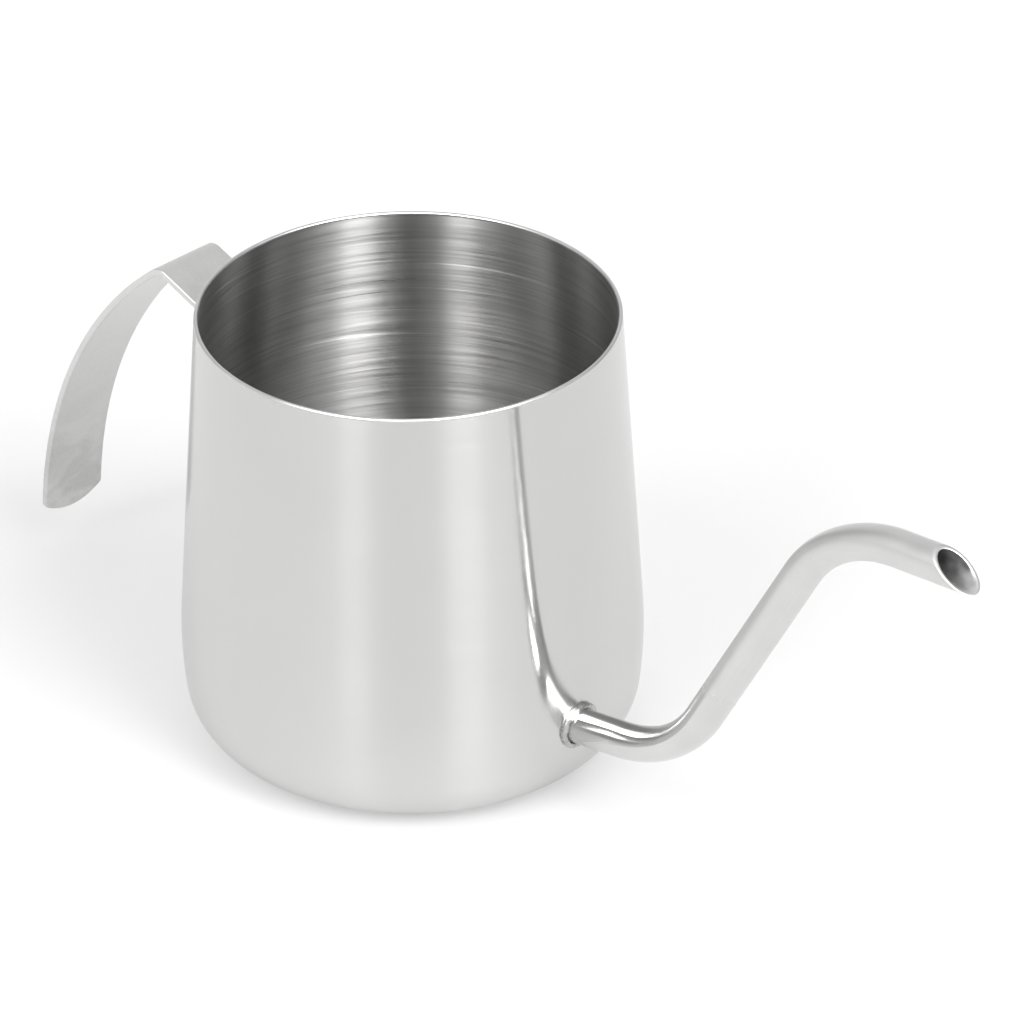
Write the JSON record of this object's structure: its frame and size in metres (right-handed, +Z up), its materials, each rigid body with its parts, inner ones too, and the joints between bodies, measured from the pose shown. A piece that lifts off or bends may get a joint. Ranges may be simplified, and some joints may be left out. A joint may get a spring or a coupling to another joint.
{
  "type": "gooseneck kettle",
  "caption": "Small open stainless steel pouring kettle with a tapered cup, a thin S-bent gooseneck spout and a bent strap handle.",
  "frame": {"origin": "centre of the cup's flat underside", "axes": "+Z up along the cup's axis, +X towards the spout, -X towards the handle; mirror-symmetric about the XZ plane"},
  "size_m": [0.1934, 0.0718, 0.0752],
  "materials": {
    "cup_steel": "mirror-polished outside, brushed round the inside",
    "spout_steel": "soft polish, satin towards the tip",
    "weld_steel": "lumpy bright weld",
    "strap_steel": "satin"
  },
  "bodies": {
    "root": {"body_shell": "cup_steel", "spout_tube": "spout_steel", "spout_weld_bead": "weld_steel", "handle_strap": "strap_steel", "handle_weld_lower": "weld_steel", "handle_weld_upper": "weld_steel"}
  },
  "joints": []
}
